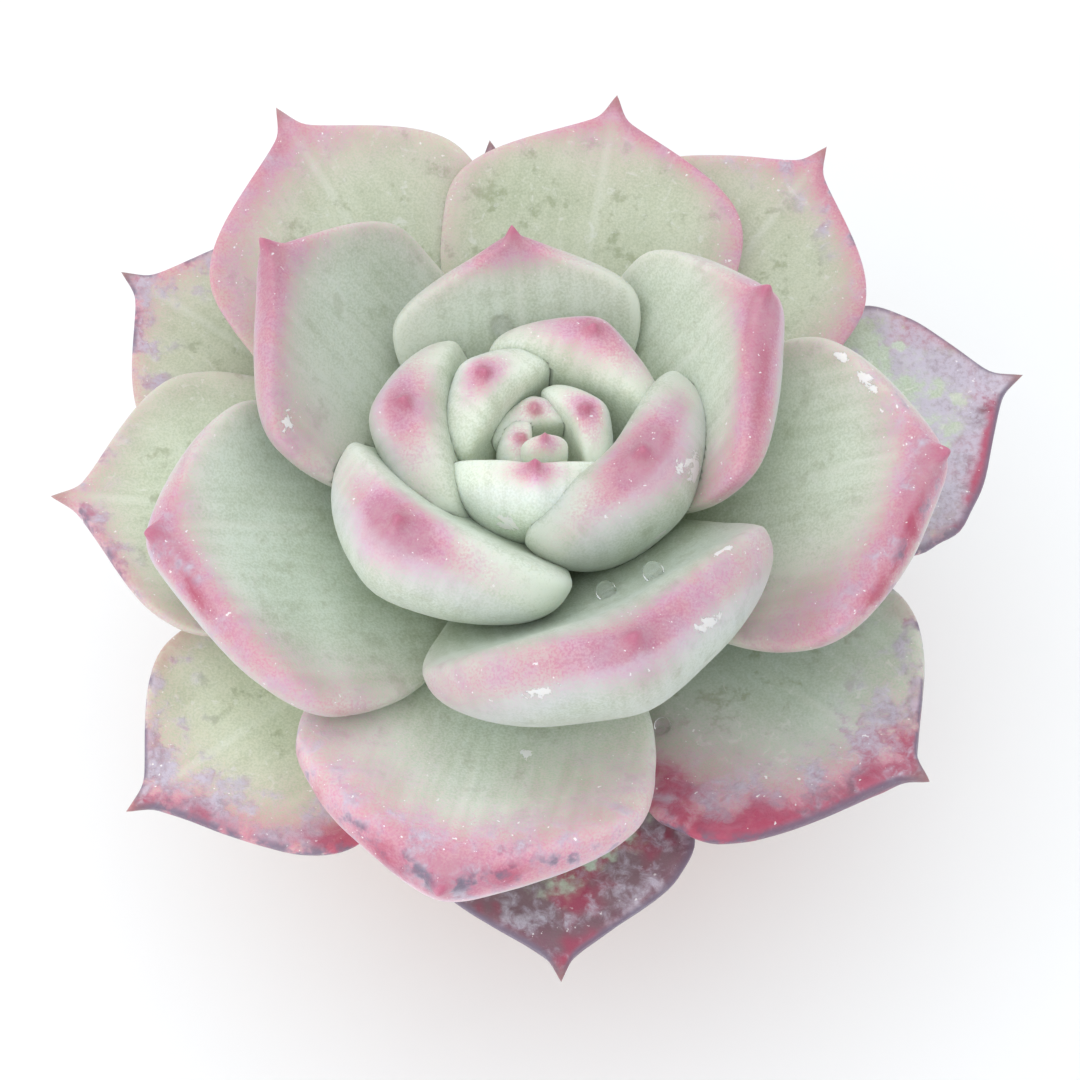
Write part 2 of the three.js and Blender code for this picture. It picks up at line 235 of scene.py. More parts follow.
class LeafForm(bpy.types.PropertyGroup):
    """Outline and section that every leaf shares, as shares of its own length, width and thickness."""

    widest: FloatProperty(name="Widest", description="Where along the leaf it is widest", default=0.66)
    base_width: FloatProperty(
        name="Base width", description="Width where it meets the stem", default=0.26
    )
    base_thickness: FloatProperty(
        name="Base thickness", description="Thickness where it meets the stem", default=0.6
    )
    shoulder: FloatProperty(name="Shoulder", description="How square the shoulders are", default=2.7)
    taper: FloatProperty(name="Taper", description="How far the end draws out to a point", default=1.65)
    bluntness: FloatProperty(
        name="Bluntness", description="How late the thickness starts to fall towards the end", default=6.0
    )
    end_fall: FloatProperty(name="End fall", description="How gently the thickness falls", default=0.7)
    hood_shoulder: FloatProperty(
        name="Hood shoulder", description="Shoulder of a hooded leaf", default=2.2
    )
    hood_taper: FloatProperty(name="Hood taper", description="Taper of a hooded leaf", default=0.5)
    hood_bluntness: FloatProperty(
        name="Hood bluntness", description="Bluntness of a hooded leaf", default=14.0
    )
    hood_end_fall: FloatProperty(
        name="Hood end fall", description="End fall of a hooded leaf", default=0.5
    )
    upper_share: FloatProperty(
        name="Upper share", description="Share of the thickness above the middle surface", default=0.34
    )
    edge_fullness: FloatProperty(
        name="Edge fullness", description="Below 1 the margins are rounder than an ellipse", default=0.75
    )
    point_length: FloatProperty(
        name="Point length", description="Length of the hard point, as a share of the width", default=0.035
    )
    point_radius: FloatProperty(
        name="Point radius", description="Radius of the hard point, as a share of the width", default=0.022
    )
    around: IntProperty(name="Around", description="Points round a leaf's section", default=96)
    along: IntProperty(name="Along", description="Points along a leaf", default=96)


class LeafColours(bpy.types.PropertyGroup):
    """Colours of the living leaf, its bloom and its weathering."""

    flesh: colour("Flesh", "Green under the bloom", (0.27, 0.34, 0.18))
    warm_bloom: colour("Warm bloom", "Wax on yellowish leaves", (0.58, 0.585, 0.43))
    cool_bloom: colour("Cool bloom", "Wax on bluish leaves", (0.49, 0.605, 0.525))
    under_bloom: colour("Under bloom", "Thick wax on the underside", (0.60, 0.665, 0.63))
    young_bloom: colour("Young bloom", "Wax on the heart leaves", (0.73, 0.79, 0.69))
    blush: colour("Blush", "Pink of the margins", (0.61, 0.24, 0.335))
    lilac: colour("Lilac", "Cooler patches of the pink", (0.61, 0.30, 0.44))
    deep_rose: colour("Deep rose", "Where the pink is strongest", (0.46, 0.12, 0.225))
    deep_blush: colour("Deep blush", "Red where the pink is deepest", (0.42, 0.045, 0.11))
    bruise: colour("Bruise", "Wine grey of weathered leaf ends", (0.19, 0.08, 0.12))
    slate: colour("Slate", "Dark dry line along weathered edges", (0.16, 0.13, 0.19))
    frost: colour("Frost", "Whitish dried wax", (0.56, 0.51, 0.60))
    midrib: colour("Midrib", "Line behind the point", (0.72, 0.74, 0.66))
    scuff: colour("Scuff", "Pale scuffs", (0.70, 0.71, 0.66))
    chalk: colour("Chalk", "Wax just below the pink", (0.68, 0.69, 0.75))
    # pale flecks, partly waxy specks and partly painted glints
    fleck_and_glint: colour("Fleck", "Pale flecks, mostly on the pink", (0.84, 0.81, 0.82))
    flake: colour("Flake", "Torn white flakes", (0.80, 0.78, 0.77))
    young_point: colour("Young point", "Point of a young leaf", (0.44, 0.10, 0.19))
    old_point: colour("Old point", "Dry point of an old leaf", (0.26, 0.12, 0.12))
    # stain is also painted as shade down in the leaf hollows
    stain: colour("Stain", "Olive where the wax is rubbed off", (0.25, 0.29, 0.15))


class PotForm(bpy.types.PropertyGroup):
    """Sizes of the clay pot that the frame doesn't give."""

    wall: FloatProperty(name="Wall", description="Wall thickness", default=0.004, unit="LENGTH")
    floor: FloatProperty(name="Floor", description="Floor thickness", default=0.005, unit="LENGTH")
    foot_radius: FloatProperty(
        name="Foot radius", description="Radius at the base", default=0.028, unit="LENGTH"
    )
    rim_height: FloatProperty(
        name="Rim height", description="Height of the rim band", default=0.011, unit="LENGTH"
    )
    rim_step: FloatProperty(
        name="Rim step", description="How far the rim stands out", default=0.0025, unit="LENGTH"
    )
    drain_radius: FloatProperty(
        name="Drain radius", description="Drain hole radius", default=0.003, unit="LENGTH"
    )
    drain_ring: FloatProperty(
        name="Drain ring", description="Drain holes' distance from the axis", default=0.014, unit="LENGTH"
    )
    clay: colour("Clay", "Fired clay", (0.37, 0.135, 0.068))
    soil: colour("Soil", "Potting mix", (0.045, 0.03, 0.02))


class StageForm(bpy.types.PropertyGroup):
    """Camera, lights and floor."""

    elevation: FloatProperty(
        name="Elevation", description="Camera above level", default=radians(65), subtype="ANGLE"
    )
    distance: FloatProperty(
        name="Distance", description="Camera to the rosette's heart", default=0.28, unit="LENGTH"
    )
    lens: FloatProperty(name="Lens", description="Focal length in mm on a 36 mm sensor", default=75.0)


def settings():
    return bpy.context.scene.succulent


# ---- Shaders --------------------------------------------------------------------------------


class Finish:
    """A material being wired up, node by node."""

    def __init__(self, name):
        self.material = bpy.data.materials.new(name)
        self.material.use_nodes = True
        self.tree = self.material.node_tree
        self.shader = self.tree.nodes["Principled BSDF"]

    def node(self, kind, **values):
        made = self.tree.nodes.new(kind)
        for name, value in values.items():
            setattr(made, name, value)
        return made

    def feed(self, socket, value):
        """Links a socket to an output, or sets it to a number, a vector or an opaque colour."""
        if isinstance(value, bpy.types.NodeSocket):
            self.tree.links.new(value, socket)
        elif hasattr(value, "__len__"):
            opaque = [1.0] * (len(socket.default_value) - len(value))
            socket.default_value = [*value, *opaque]
        else:
            socket.default_value = value

    def math(self, operation, first, second=0.0, clamp=False):
        made = self.node("ShaderNodeMath", operation=operation, use_clamp=clamp)
        for socket, value in zip(made.inputs, (first, second)):
            self.feed(socket, value)
        return made.outputs[0]

    def plus(self, first, second):
        return self.math("ADD", first, second)

    def times(self, first, second):
        return self.math("MULTIPLY", first, second)

    def minus(self, first, second, clamp=False):
        return self.math("SUBTRACT", first, second, clamp)

    def ramp(self, value, low, high, out_low=0.0, out_high=1.0):
        """A smooth step from out_low to out_high as value goes from low to high."""
        made = self.node("ShaderNodeMapRange", interpolation_type="SMOOTHSTEP")
        for socket, given in zip(made.inputs, (value, low, high, out_low, out_high)):
            self.feed(socket, given)
        return made.outputs[0]

    def mix(self, share, first, second, blend="MIX"):
        made = self.node("ShaderNodeMix", data_type="RGBA", blend_type=blend)
        self.feed(made.inputs[0], share)
        self.feed(made.inputs[6], first)
        self.feed(made.inputs[7], second)
        return made.outputs[2]

    def noise(self, vector, scale, detail=2.0, roughness=0.5, distortion=0.0):
        made = self.node("ShaderNodeTexNoise")
        self.feed(made.inputs["Vector"], vector)
        self.feed(made.inputs["Scale"], scale)
        self.feed(made.inputs["Detail"], detail)
        self.feed(made.inputs["Roughness"], roughness)
        self.feed(made.inputs["Distortion"], distortion)
        return made.outputs[0]

    def cells(self, vector, scale):
        made = self.node("ShaderNodeTexVoronoi")
        self.feed(made.inputs["Vector"], vector)
        self.feed(made.inputs["Scale"], scale)
        return made.outputs[0]

    def object_mm(self):
        """Object coordinates in millimetres."""
        place = self.node("ShaderNodeTexCoord")
        scaled = self.node("ShaderNodeMapping")
        self.feed(scaled.inputs["Vector"], place.outputs["Object"])
        self.feed(scaled.inputs["Scale"], (1000.0, 1000.0, 1000.0))
        return scaled.outputs[0]

    def attribute(self, name):
        """The three parts of a vector that the mesh carries."""
        read = self.node("ShaderNodeAttribute", attribute_name=name)
        split = self.node("ShaderNodeSeparateXYZ")
        self.feed(split.inputs[0], read.outputs["Vector"])
        return read.outputs["Vector"], split.outputs[0], split.outputs[1], split.outputs[2]

    def stretched(self, vector, scale):
        made = self.node("ShaderNodeMapping")
        self.feed(made.inputs["Vector"], vector)
        self.feed(made.inputs["Scale"], scale)
        return made.outputs[0]

    def bump(self, height, distance, strength=1.0, under=None):
        made = self.node("ShaderNodeBump")
        self.feed(made.inputs["Height"], height)
        self.feed(made.inputs["Distance"], distance)
        self.feed(made.inputs["Strength"], strength)
        if under is not None:
            self.feed(made.inputs["Normal"], under)
        return made.outputs[0]

    def finish(self, **values):
        for name, value in values.items():
            self.feed(self.shader.inputs[name.replace("_", " ")], value)
        return self.material


def leaf_finish(name, age):
    """Leaf skin; age is 0 in the heart and 1 on the oldest leaves."""
    colours = settings().leaf_colours
    skin = Finish(name)
    mm = skin.object_mm()
    _, edge, away, under = skin.attribute("margin")
    _, blush, wear, scar = skin.attribute("tint")
    grain, across, _, hollow = skin.attribute("grain")
    _, tone, frost, core = skin.attribute("tone")

    patch = skin.noise(mm, 0.10, 3.0, 0.55)
    cloud = skin.noise(mm, 0.28, 4.0, 0.6)
    smear = skin.noise(mm, 0.55, 5.0, 0.65, 0.8)
    dust = skin.noise(mm, 1.3, 3.0, 0.7)
    pores = skin.noise(mm, 3.4, 1.0, 0.6)
    streak = skin.noise(skin.stretched(grain, (0.7, 0.07, 0.0)), 1.0, 2.0, 0.5)

    # green flesh under a wax bloom, thick underneath; less bloom towards the leaf base as painted shade in
    # the hollows, and more bloom near the margins as a painted rim highlight
    wax = skin.mix(tone, colours.warm_bloom, colours.cool_bloom)
    wax = skin.mix(skin.times(under, 0.8), wax, colours.under_bloom)
    wax = skin.mix(0.8 * (1 - age), wax, colours.young_bloom)
    wax_and_painted_light = skin.plus(skin.ramp(patch, 0.25, 0.75, 0.74, 1.0), skin.ramp(pores, 0.3, 0.7, -0.17, 0.12))
    wax_and_painted_light = skin.plus(wax_and_painted_light, skin.ramp(streak, 0.3, 0.7, -0.05 - 0.08 * (1 - age), 0.05))
    # painted rim highlight: the bloom is paler within a few mm of the margin, where the rounded rims catch
    # the light
    wax_and_painted_light = skin.plus(wax_and_painted_light, skin.ramp(edge, 0.0, 3.5, 0.22, 0.0))
    # painted shade: less bloom and more dark green flesh down in the hollows at the leaf base, where shade
    # falls
    wax_and_painted_light = skin.minus(wax_and_painted_light, skin.times(hollow, 0.55), clamp=True)
    colour = skin.mix(wax_and_painted_light, colours.flesh, wax)

    # pale line down the middle of the upper face, behind the point
    line = skin.ramp(skin.math("ABSOLUTE", across), 0.1, 1.0, 1.0, 0.0)
    line = skin.times(line, skin.ramp(away, 3.0, 7.0))
    line = skin.times(line, skin.ramp(away, 12.0, 30.0, 0.28, 0.0))
    line = skin.times(line, skin.ramp(under, 0.1, 0.4, 1.0, 0.0))
    colour = skin.mix(line, colour, colours.midrib)

    # olive blotches where the wax is rubbed off, drawn further into the hollows as painted shade, and pale
    # scuffs
    bare = skin.plus(cloud, skin.times(dust, 0.25))
    # the hollow term is painted shade: more olive down in the hollows at the leaf base
    rubbed = skin.ramp(skin.plus(bare, skin.times(hollow, 0.12)), 0.68, 0.82)
    rubbed = skin.times(rubbed, 0.10 + 0.50 * age)
    colour = skin.mix(rubbed, colour, colours.stain)
    scuffed = skin.times(skin.ramp(smear, 0.58, 0.68), 0.16 + 0.44 * age)
    colour = skin.mix(scuffed, colour, colours.scuff)

    # pink, strongest at the margin, with a redder core
    wander = skin.plus(skin.ramp(cloud, 0.3, 0.7, -0.10, 0.10), skin.ramp(pores, 0.3, 0.7, -0.15, 0.15))
    pink = skin.plus(blush, skin.times(wander, skin.ramp(blush, 0.05, 0.5)))
    share = skin.times(skin.ramp(pink, -0.05, 1.15, 0.0, 0.95), skin.ramp(pores, 0.3, 0.65, 0.88, 1.0))
    share = skin.times(share, skin.ramp(smear, 0.30, 0.66, 1.0, 0.88))
    rose = skin.mix(skin.ramp(cloud, 0.38, 0.62), colours.blush, colours.lilac)
    rose = skin.mix(skin.ramp(pink, 0.9, 1.7, 0.0, 0.75), rose, colours.deep_rose)
    colour = skin.mix(share, colour, rose)

    # bluish white wax just below the pink
    strip = skin.times(skin.ramp(edge, 1.5, 3.2), skin.ramp(edge, 4.5, 9.0, 0.28, 0.0))
    strip = skin.times(strip, skin.ramp(under, 0.5, 0.9))
    colour = skin.mix(strip, colour, colours.chalk)

    # weathering: a wine grey end, dark red blotches and whitish frost
    drift = skin.times(skin.ramp(cloud, 0.28, 0.72, -0.34, 0.34), skin.ramp(wear, 0.02, 0.25))
    worn = skin.plus(wear, drift)
    colour = skin.mix(skin.ramp(worn, 0.28, 0.80, 0.0, 0.88), colour, colours.bruise)
    blotch = skin.times(skin.ramp(patch, 0.48, 0.60), skin.ramp(worn, 0.25, 0.55, 0.0, 0.75))
    colour = skin.mix(blotch, colour, colours.deep_blush)
    rime = skin.plus(cloud, skin.times(frost, 0.24))
    rime = skin.plus(rime, skin.ramp(smear, 0.3, 0.7, -0.10, 0.10))
    rime = skin.times(skin.ramp(rime, 0.46, 0.80), skin.ramp(worn, 0.12, 0.50, 0.0, 0.9))
    rime = skin.times(rime, skin.ramp(dust, 0.3, 0.6, 0.6, 1.0))
    colour = skin.mix(rime, colour, colours.frost)

    # crimson along the core of the pink, pale flecks that are partly wax and partly painted glints, and a
    # dark dry edge where it is weathered
    red = skin.times(core, skin.ramp(patch, 0.36, 0.62, 0.35, 1.15))
    red = skin.plus(red, skin.times(skin.ramp(smear, 0.3, 0.7, -0.25, 0.25), core))
    colour = skin.mix(skin.ramp(red, 0.10, 1.35, 0.0, 0.85), colour, colours.deep_blush)
    # pale flecks: partly waxy specks and partly painted glints, mostly on the pink
    fleck_and_glint = skin.ramp(skin.noise(mm, 1.25, 2.0, 0.6), 0.70, 0.73)
    fleck_and_glint = skin.times(fleck_and_glint, skin.ramp(blush, 0.1, 0.5, 0.12, 0.85))
    colour = skin.mix(fleck_and_glint, colour, colours.fleck_and_glint)
    dry = skin.times(skin.ramp(edge, 0.25, 1.7, 0.85, 0.0), skin.ramp(worn, 0.28, 0.62))
    colour = skin.mix(dry, colour, colours.slate)

    # white flakes, and the hard little point
    torn = skin.plus(scar, skin.ramp(smear, 0.3, 0.7, -0.55, 0.45))
    scarred = skin.ramp(torn, 0.38, 0.46)
    colour = skin.mix(scarred, colour, colours.flake)
    point_colour = colours.old_point if age > 0.5 else colours.young_point
    colour = skin.mix(skin.ramp(away, 0.4, 1.5 + 1.5 * age, 0.65, 0.0), colour, point_colour)

    # some leaves are paler or darker all over, away from the pink: partly the wax's own tone and partly
    # painted light and shade, making up for how brightly each leaf is lit
    _, tone_and_painted_light, _, _ = skin.attribute("shade")
    paler = skin.node("ShaderNodeVectorMath", operation="SCALE")
    skin.feed(paler.inputs[0], colour)
    skin.feed(paler.inputs["Scale"], tone_and_painted_light)
    colour = paler.outputs[0]

    # pores and slow waves in the skin, and a crust on the frost and the flakes
    relief = skin.plus(skin.times(pores, 0.4), skin.times(cloud, 0.6))
    normal = skin.bump(relief, 0.00016, 0.5)
    crusted = skin.plus(skin.times(rime, 0.6), scarred)
    normal = skin.bump(crusted, 0.00022, 0.7, normal)
    rough = skin.ramp(pores, 0.3, 0.7, 0.50, 0.62)
    rough = skin.minus(rough, skin.times(share, 0.14))
    rough = skin.minus(rough, skin.times(scarred, 0.2))
    return skin.finish(
        Base_Color=colour,
        Roughness=rough,
        Normal=normal,
        Subsurface_Weight=0.35,
        Subsurface_Radius=(1.0, 0.8, 0.6),
        Subsurface_Scale=0.004,
        Sheen_Weight=0.12,
        Sheen_Roughness=0.4,
        Specular_IOR_Level=0.45,
    )


def clay_finish():
    pot = settings().pot
    clay = Finish("fired clay")
    mm = clay.object_mm()
    cloud = clay.noise(mm, 0.06, 4.0, 0.6)
    grit = clay.noise(mm, 2.4, 3.0, 0.7)
    pits = clay.cells(mm, 0.9)
    bands = clay.noise(clay.stretched(mm, (0.01, 0.01, 0.9)), 1.0, 2.0, 0.5)
    pale_clay = [min(1.0, 1.45 * part) for part in pot.clay]
    burnt_clay = (0.30, 0.09, 0.04)
    lime_colour = (0.78, 0.70, 0.62)
    colour = clay.mix(clay.ramp(cloud, 0.35, 0.7), pot.clay, pale_clay)
    colour = clay.mix(clay.ramp(grit, 0.4, 0.75, 0.0, 0.35), colour, burnt_clay)
    # white lime near the foot and the rim, as on a pot that has been watered for years
    height = clay.node("ShaderNodeSeparateXYZ")
    clay.feed(height.inputs[0], mm)
    lime = clay.plus(clay.noise(mm, 0.14, 5.0, 0.65), clay.ramp(height.outputs[2], 2.0, 16.0, 0.16, 0.0))
    lime = clay.plus(lime, clay.ramp(height.outputs[2], 44.0, 53.0, 0.0, 0.06))
    colour = clay.mix(clay.ramp(lime, 0.56, 0.78, 0.0, 0.65), colour, lime_colour)
    normal = clay.bump(clay.plus(grit, clay.times(bands, 0.8)), 0.00012, 0.7)
    normal = clay.bump(clay.ramp(pits, 0.0, 0.25), 0.0001, 0.35, normal)
    return clay.finish(
        Base_Color=colour,
        Roughness=clay.ramp(grit, 0.3, 0.7, 0.78, 0.92),
        Normal=normal,
        Specular_IOR_Level=0.3,
    )


def soil_finish():
    pot = settings().pot
    soil = Finish("potting mix")
    mm = soil.object_mm()
    crumbs = soil.cells(mm, 0.7)
    fine = soil.noise(mm, 1.6, 4.0, 0.7)
    dry_soil = [min(1.0, 3.4 * part) for part in pot.soil]
    colour = soil.mix(soil.ramp(fine, 0.35, 0.7), pot.soil, dry_soil)
    normal = soil.bump(soil.plus(fine, crumbs), 0.0008, 0.8)
    return soil.finish(Base_Color=colour, Roughness=0.95, Normal=normal, Specular_IOR_Level=0.2)


def grit_finish(name, dark, pale):
    grit = Finish(name)
    mm = grit.object_mm()
    patch = grit.noise(mm, 0.45, 3.0, 0.6)
    fine = grit.noise(mm, 3.0, 3.0, 0.7)
    colour = grit.mix(grit.ramp(patch, 0.35, 0.65), dark, pale)
    normal = grit.bump(fine, 0.0003, 0.8)
    return grit.finish(Base_Color=colour, Roughness=0.9, Normal=normal, Specular_IOR_Level=0.25)


def bark_finish():
    bark = Finish("stem skin")
    mm = bark.object_mm()
    long_grain = bark.noise(bark.stretched(mm, (1.4, 1.4, 0.25)), 1.0, 4.0, 0.65)
    fine = bark.noise(mm, 2.0, 4.0, 0.7)
    brown = (0.20, 0.14, 0.08)
    straw = (0.42, 0.38, 0.22)
    crack = (0.12, 0.08, 0.05)
    colour = bark.mix(bark.ramp(long_grain, 0.35, 0.65), brown, straw)
    colour = bark.mix(bark.ramp(fine, 0.55, 0.7, 0.0, 0.6), colour, crack)
    normal = bark.bump(bark.plus(long_grain, fine), 0.0004, 0.8)
    return bark.finish(Base_Color=colour, Roughness=0.8, Normal=normal)


def water_finish():
    water = Finish("water")
    clear = (1.0, 1.0, 1.0)
    return water.finish(Base_Color=clear, Roughness=0.02, IOR=1.33, Transmission_Weight=1.0)


def floor_finish():
    floor = Finish("pale floor")
    mm = floor.object_mm()
    tone = floor.mix(floor.noise(mm, 0.02, 2.0, 0.5), (0.92, 0.92, 0.92), (0.94, 0.94, 0.94))
    return floor.finish(Base_Color=tone, Roughness=0.8, Specular_IOR_Level=0.1)


# ---- Mesh helpers ---------------------------------------------------------------------------


def object_from(bm, name, material=None, smooth=True):
    """An object at the origin that takes over the bmesh."""
    mesh = bpy.data.meshes.new(name)
    bm.to_mesh(mesh)
    bm.free()
    piece = bpy.data.objects.new(name, mesh)
    bpy.context.scene.collection.objects.link(piece)
    if material:
        mesh.materials.append(material)
    mesh.polygons.foreach_set("use_smooth", [smooth] * len(mesh.polygons))
    return piece


def cut(piece, cutters, name):
    """Takes the cutters' solids out of a piece and removes them."""
    box = bpy.data.collections.new(name + "_cutters")
    bpy.context.scene.collection.children.link(box)
    for cutter in cutters:
        box.objects.link(cutter)
    modifier = piece.modifiers.new("cut", "BOOLEAN")
    modifier.operation = "DIFFERENCE"
    modifier.solver = "MANIFOLD"
    modifier.operand_type = "COLLECTION"
    modifier.collection = box
    seen = bpy.context.evaluated_depsgraph_get()
    solid = bpy.data.meshes.new_from_object(piece.evaluated_get(seen))
    piece.modifiers.clear()
    old = piece.data
    piece.data = solid
    solid.name = name
    bpy.data.meshes.remove(old)
    for cutter in cutters:
        box.objects.unlink(cutter)
    bpy.data.collections.remove(box)


def lathe(profile, steps):
    """Spins a profile of (radius, height) points in metres about the Z axis, and closes it."""
    bm = bmesh.new()
    verts = [bm.verts.new((radius, 0.0, height)) for radius, height in profile]
    edges = [bm.edges.new(pair) for pair in zip(verts, verts[1:])]
    bmesh.ops.spin(
        bm,
        geom=verts + edges,
        cent=(0, 0, 0),
        axis=(0, 0, 1),
        angle=2 * pi,
        steps=steps,
        use_merge=True,
    )
    bmesh.ops.remove_doubles(bm, verts=bm.verts, dist=1e-6)
    bmesh.ops.recalc_face_normals(bm, faces=bm.faces)
    return bm


def rounded(points, radius, steps=5):
    """The same profile with every corner rounded but its two ends."""
    out = [points[0]]
    for before, at, after in zip(points, points[1:], points[2:]):
        corner = Vector(at)
        back = Vector(before) - corner
        ahead = Vector(after) - corner
        reach = min(radius, 0.45 * back.length, 0.45 * ahead.length)
        start = corner + back.normalized() * reach
        end = corner + ahead.normalized() * reach
        for i in range(steps + 1):
            share = i / steps
            out.append(tuple(start.lerp(corner, share).lerp(corner.lerp(end, share), share)))
    return out + [points[-1]]


# ---- Leaf -----------------------------------------------------------------------------------


def smooth_step(value, low, high):
    share = min(1.0, max(0.0, (value - low) / (high - low)))
    return share * share * (3 - 2 * share)


def blend(first, second, share):
    return first + (second - first) * share


def outline(form, share, hood):
    """Half width at a share of the length, as a share of the greatest half width."""
    if share < form.widest:
        return form.base_width + (1 - form.base_width) * sin(pi / 2 * share / form.widest)
    beyond = (share - form.widest) / (1 - form.widest)
    shoulder = blend(form.shoulder, form.hood_shoulder, hood)
    return max(0.0, 1 - beyond**shoulder) ** blend(form.taper, form.hood_taper, hood)


def thickness(form, share, hood):
    """Thickness at a share of the length, as a share of the greatest thickness."""
    swell = form.base_thickness + (1 - form.base_thickness) * sin(pi * min(share, 0.5))
    end = share ** blend(form.bluntness, form.hood_bluntness, hood)
    return swell * max(0.0, 1 - end) ** blend(form.end_fall, form.hood_end_fall, hood)


def seat_of(row):
    """Radius and level, in mm, at which the leaf in this row is seated on the stem."""
    share = row / (len(LEAVES) - 1)
    radius = SEAT_RADII[0] + (SEAT_RADII[1] - SEAT_RADII[0]) * share**1.5
    return radius, CROWN_LEVEL + share * CROWN_HEIGHT


def middle_line(leaf, seat, share):
    """Point on the leaf's middle line in mm (out, up) and its slope there."""
    bend = radians(leaf.curl)
    start = radians(leaf.rise) - bend / 2
    angle = start + bend * share
    out = leaf.length / bend * (sin(angle) - sin(start))
    up = leaf.length / bend * (cos(start) - cos(angle))
    return seat[0] + out, seat[1] + up, angle


def scar_field(leaf, side, across, share, half):
    """1 in the middle of a scar, falling to 0 at its edge and on below 0."""
    best = -1.0
    for scar in SCARS:
        if scar.leaf == leaf.name and scar.side * side > 0:
            off_across = (across - scar.across) * half
            off_along = (share - scar.along) * leaf.length
            best = max(best, 1.0 - hypot(off_across, off_along) / scar.size)
    return best


class Blade:
    """The shape of one leaf: places on its surface, in mm."""

    def __init__(self, row):
        self.form = settings().leaf_form
        self.leaf = LEAVES[row]
        self.skin = SKINS[self.leaf.name]
        self.seat = seat_of(row)
        self.rough = min(1.0, self.skin.wear)
        self.seed = Vector((7.3 * row, 3.1 * row, 1.7 * row))
        turn = radians(self.leaf.turn)
        self.radial = Vector((cos(turn), sin(turn), 0))
        self.level_side = Vector((-sin(turn), cos(turn), 0))

    def at(self, share, left, upper):
        """A place on the surface, how far left it lies, half the width there and how far up it lies, in mm.

        share is of the leaf's length; left and upper are the cosine and sine of the turn round its section.
        """
        form, leaf = self.form, self.leaf
        at_an_end = left == 0 and upper == 0
        to_tip = (1 - share) * leaf.length
        out_along = share * leaf.length
        beside = copysign(5.0, left)
        waver = WAVER * noise.noise(Vector((out_along / WAVER_LENGTH, beside, 0)) + self.seed)
        fine_waver = noise.noise(Vector((out_along / ROUGH_WAVER_LENGTH, beside, 4)) + self.seed)
        waver += ROUGH_WAVER * self.rough * fine_waver
        point = form.point_radius * leaf.width * min(1.0, to_tip / (0.06 * leaf.width))
        half = hypot(leaf.width / 2 * outline(form, share, leaf.hood) * (1 + waver), point)
        thick = hypot(leaf.thick * thickness(form, share, leaf.hood), 1.6 * point)
        if at_an_end:
            half = thick = 0.0
        above = blend(form.upper_share, leaf.bulge, smooth_step(share, 0.35, 0.9))
        this_side = above if upper > 0 else 1 - above
        section = copysign(abs(upper) ** form.edge_fullness, upper) * this_side * thick
        across = half * left * (1 + leaf.skew * left)
        # a keel under the tip and a shallow groove above it
        narrow = exp(-((across / (0.12 * leaf.width)) ** 2))
        mid = narrow * smooth_step(share, 0.5, 0.85) * min(1.0, thick / 3.0)
        section -= mid * (KEEL if upper < 0 else GROOVE) * min(1.0, leaf.width / KEELED_WIDTH)
        # slow unevenness of the living surface
        full = min(1.0, half / 6.0) * min(1.0, abs(upper) * 2)
        flat = Vector((across / SWELL_LENGTH, out_along / SWELL_LENGTH, copysign(0.4, upper))) + self.seed
        section += SWELL * full * noise.noise(flat)
        fine_swell = noise.noise(flat * ROUGH_SWELLS_PER_SWELL)
        section += ROUGH_SWELL * self.rough * full * fine_swell * smooth_step(share, 0.4, 0.8)
        # margins that wave more on weathered leaves
        wave = noise.noise(Vector((out_along / WAVE_LENGTH, beside, 9)) + self.seed)
        crumple = noise.noise(Vector((out_along / CRUMPLE_LENGTH, beside, 14)) + self.seed)
        uneven = WAVE * wave + CRUMPLE * self.rough * crumple
        ripple = uneven * abs(left) ** 3 * smooth_step(share, 0.3, 0.7)
        lift = leaf.cup * left * left * half + ripple * min(1.0, half / 8)
        # the hard point, drawn out of the end
        poke = (0.4 + form.point_length * leaf.width) * smooth_step(share, 0.8, 0.9)
        poke *= exp(-((hypot(across, section) / (0.35 + form.point_radius * leaf.width)) ** 2))
        out, up, angle = middle_line(leaf, self.seat, share)
        tangent = self.radial * cos(angle) + Vector((0, 0, sin(angle)))
        normal = Vector((0, 0, cos(angle))) - self.radial * sin(angle)
        twist = Matrix.Rotation(radians(leaf.roll), 3, tangent)
        place = self.radial * out + Vector((0, 0, up)) + tangent * poke
        place += twist @ self.level_side * across + twist @ normal * (section + lift)
        return place, across, half, section


